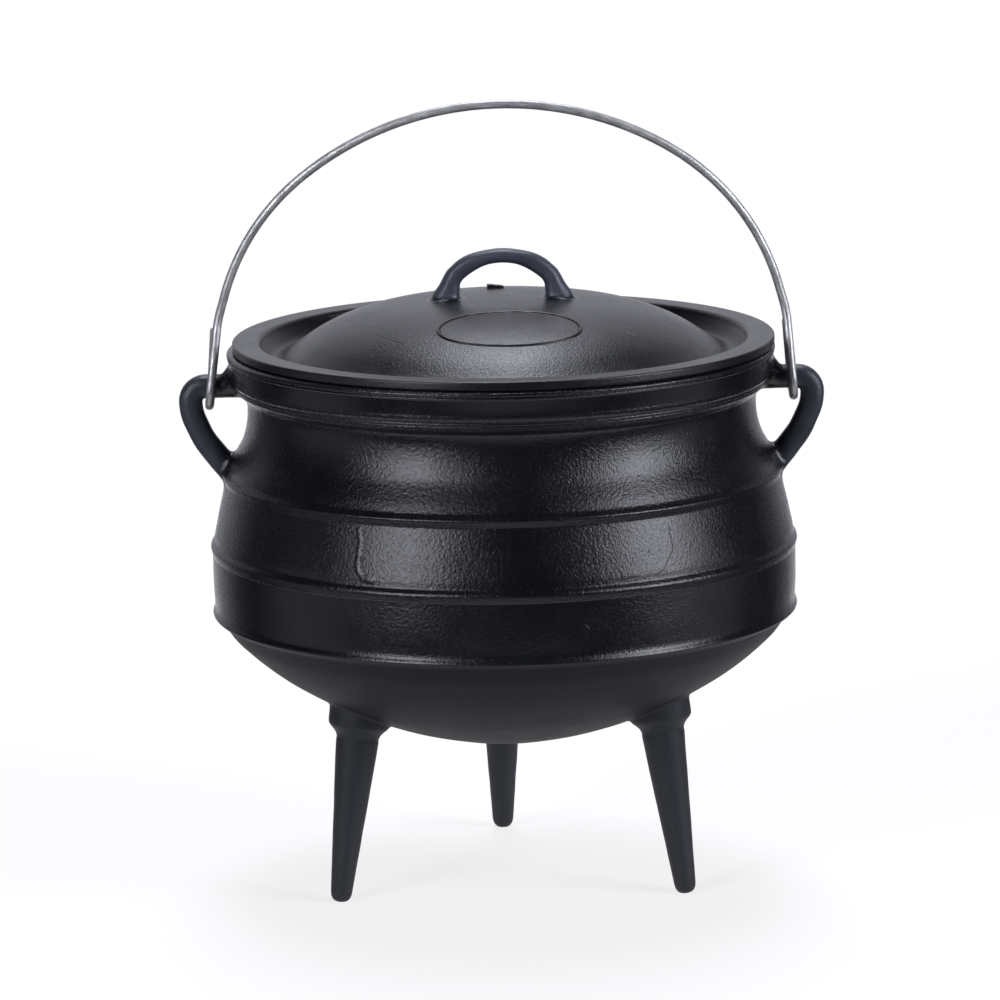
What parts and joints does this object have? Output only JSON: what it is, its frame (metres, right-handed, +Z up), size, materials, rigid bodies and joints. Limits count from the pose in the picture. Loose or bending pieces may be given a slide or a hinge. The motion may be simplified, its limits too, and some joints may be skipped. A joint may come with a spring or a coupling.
{
  "type": "potjie pot",
  "caption": "Round-bellied black cast-iron cooking pot on tapered legs, with raised bands, side ears, a domed lid with a loop handle and a swinging wire bail.",
  "frame": {"origin": "on the floor under the pot's own axis, midway between the ears", "axes": "+Z up along the pot's axis, X through the two ears and so along the bail's axis, -Y towards the viewer of the picture"},
  "size_m": [0.3062, 0.2792, 0.3753],
  "materials": {
    "cast_iron": "satin black coating over sand-cast iron",
    "lid_iron": "satin black coating over sand-cast iron",
    "wire": "dull galvanised drawn wire"
  },
  "bodies": {
    "pot": {"pot": "cast_iron", "lid": "lid_iron"},
    "bail": {"bail_handle": "wire"}
  },
  "joints": [
    {"name": "bail_swing", "type": "hinge", "parent": "pot", "child": "bail", "pos_m": [0, 0, 0.2397], "axis": [1, 0, 0], "range_deg": [-108.8, 98.8]}
  ]
}
